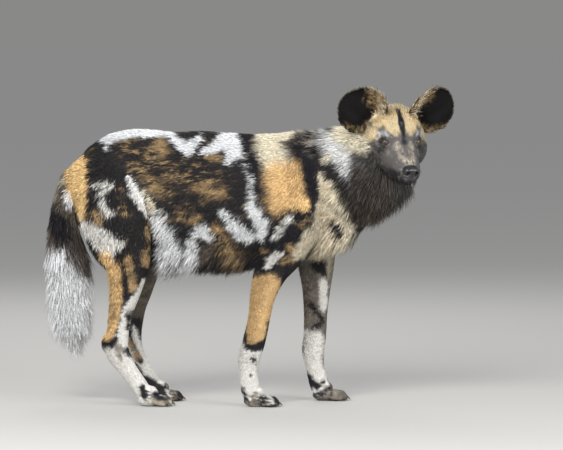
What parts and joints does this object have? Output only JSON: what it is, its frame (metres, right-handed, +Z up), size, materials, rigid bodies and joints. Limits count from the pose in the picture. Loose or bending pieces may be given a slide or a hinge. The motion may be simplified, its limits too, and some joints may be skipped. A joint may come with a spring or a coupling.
{
  "type": "african wild dog",
  "caption": "Life-size still model of a standing African wild dog with its head turned to its right, large round ears, mottled coat and a white bushy tail.",
  "frame": {"origin": "on the floor, under the middle of the box round the whole animal", "axes": "+X from the tail towards the chest, +Y to the animal's left, +Z up"},
  "size_m": [1.029, 0.3178, 0.798],
  "materials": {
    "coat_dark": "dark short coat",
    "coat_tan": "tan short coat",
    "coat_cream": "cream coat",
    "coat_white": "white coat",
    "ear_skin": "thin dark ear with short hair",
    "nose_skin": "moist leathery nose",
    "eye": "wet amber brown eye"
  },
  "bodies": {
    "root": {"ear_left": "ear_skin", "ear_right": "ear_skin", "eye_left": "eye", "eye_right": "eye", "fore_arm_left": "coat_white", "fore_arm_right": "coat_tan", "fore_paw_left": "coat_white", "fore_paw_right": "coat_white", "fore_shoulder_left": "coat_cream", "fore_shoulder_right": "coat_dark", "head": "coat_cream", "hind_paw_left": "coat_white", "hind_paw_right": "coat_white", "hind_shank_left": "coat_white", "hind_shank_right": "coat_white", "hind_thigh_left": "coat_dark", "hind_thigh_right": "coat_dark", "neck": "coat_dark", "nose": "nose_skin", "tail_brush": "coat_white", "tail_root": "coat_tan", "torso": "coat_dark"}
  },
  "joints": []
}
